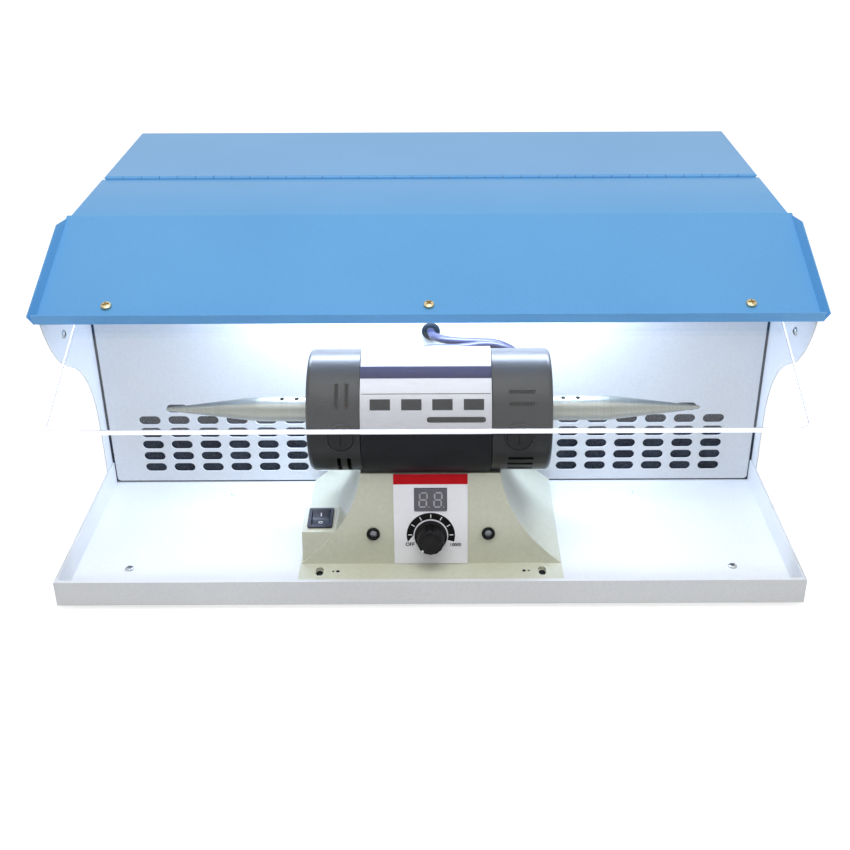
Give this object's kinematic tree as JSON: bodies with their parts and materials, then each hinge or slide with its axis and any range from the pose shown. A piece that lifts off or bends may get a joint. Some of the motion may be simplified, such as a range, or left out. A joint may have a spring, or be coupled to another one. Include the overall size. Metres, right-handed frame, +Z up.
{
  "type": "bench polishing machine",
  "caption": "Bench polishing machine: steel cabinet with hinged hood and clear shield over a double-ended variable-speed motor with tapered spindles and fan-drawn dust chamber.",
  "frame": {"origin": "centre of the footprint on the surface that the feet stand on", "axes": "+X to the right as the user faces it, +Y from the open front to the back, +Z up"},
  "size_m": [0.6162, 0.4882, 0.2695],
  "materials": {
    "white_powder": "white powder coat, light satin sheen",
    "blue_powder": "bright blue powder coat, satin with a fine grain",
    "beige_enamel": "pale grey-beige enamel, satin",
    "motor_enamel": "black enamel, satin",
    "cap_plastic": "charcoal moulded plastic",
    "black_plastic": "black moulded plastic",
    "gloss_black": "glossy black moulded plastic",
    "rubber": "black rubber",
    "cable_jacket": "dark grey cable jacket",
    "bright_steel": "bright turned steel",
    "zinc_steel": "zinc-plated steel",
    "lamp_aluminium": "extruded aluminium",
    "lamp_opal": "opal plastic diffuser, lit",
    "clear_acrylic": "clear polished acrylic",
    "filter_foam": "dark open-cell filter pad",
    "printed_plate": "white faceplate with a red band and a black dial scale",
    "printed_label": "silver rating plate with a navy band, left bare",
    "display_face": "dark display window",
    "circuit_board": "green circuit board",
    "motor_iron": "dark iron",
    "winding_copper": "copper windings"
  },
  "bodies": {
    "cabinet": {"base_tray": "white_powder", "side_panel_left": "white_powder", "side_panel_right": "white_powder", "perforated_panel": "white_powder", "rear_panel": "white_powder", "hood_rear_panel": "blue_powder", "hinge_leaf_fixed": "blue_powder", "lathe_base": "beige_enamel", "motor_housing": "motor_enamel", "end_cap_left": "cap_plastic", "end_cap_right": "cap_plastic", "brush_cap_left": "cap_plastic", "brush_cap_right": "cap_plastic", "exhaust_grille": "black_plastic", "power_inlet": "black_plastic", "switch_bezel": "gloss_black", "panel_grommet": "rubber", "strain_relief": "rubber", "screw_ring_left": "rubber", "screw_ring_right": "rubber", "rubber_foot_front_left": "rubber", "rubber_foot_back_left": "rubber", "rubber_foot_front_right": "rubber", "rubber_foot_back_right": "rubber", "motor_lead": "cable_jacket", "bearing_left": "bright_steel", "bearing_right": "bright_steel", "hinge_pin": "bright_steel", "fan_shroud": "zinc_steel", "base_cover": "zinc_steel", "potentiometer": "zinc_steel", "lathe_screw_left": "zinc_steel", "lathe_screw_right": "zinc_steel", "cover_screw_left": "zinc_steel", "cover_screw_right": "zinc_steel", "lamp_housing": "lamp_aluminium", "lamp_diffuser": "lamp_opal", "filter_pad": "filter_foam", "control_plate": "printed_plate", "motor_label": "printed_label", "speed_display": "display_face", "control_board": "circuit_board", "fan_motor": "motor_iron", "stator": "motor_iron"},
    "hood": {"hood_flap": "blue_powder", "hinge_leaf_moving": "blue_powder", "acrylic_shield": "clear_acrylic", "shield_screw_left": "zinc_steel", "shield_screw_middle": "zinc_steel", "shield_screw_right": "zinc_steel", "shield_nut_left": "zinc_steel", "shield_nut_middle": "zinc_steel", "shield_nut_right": "zinc_steel"},
    "motor_shaft": {"rotor": "winding_copper", "spindle_left": "bright_steel", "spindle_right": "bright_steel"},
    "fan": {"fan_impeller": "black_plastic"},
    "speed_dial": {"speed_knob": "gloss_black", "pot_shaft": "lamp_aluminium"},
    "switch_key": {"switch_rocker": "gloss_black"}
  },
  "joints": [
    {"name": "hood_hinge", "type": "hinge", "parent": "cabinet", "child": "hood", "pos_m": [0, 0.08213, 0.267], "axis": [-1, 0, 0], "range_deg": [0, 170]},
    {"name": "motor_spin", "type": "hinge", "parent": "cabinet", "child": "motor_shaft", "pos_m": [0, -0.12487, 0.134], "axis": [1, 0, 0], "continuous": true},
    {"name": "fan_spin", "type": "hinge", "parent": "cabinet", "child": "fan", "pos_m": [0, 0.20513, 0.14], "axis": [0, 1, 0], "continuous": true},
    {"name": "speed_turn", "type": "hinge", "parent": "cabinet", "child": "speed_dial", "pos_m": [0, -0.16336, 0.0376], "axis": [0, 0.9848, -0.1736], "range_deg": [0, 270]},
    {"name": "switch_rock", "type": "hinge", "parent": "cabinet", "child": "switch_key", "pos_m": [-0.0926, -0.14392, 0.04144], "axis": [-1, 0, 0], "range_deg": [0, 16]}
  ]
}
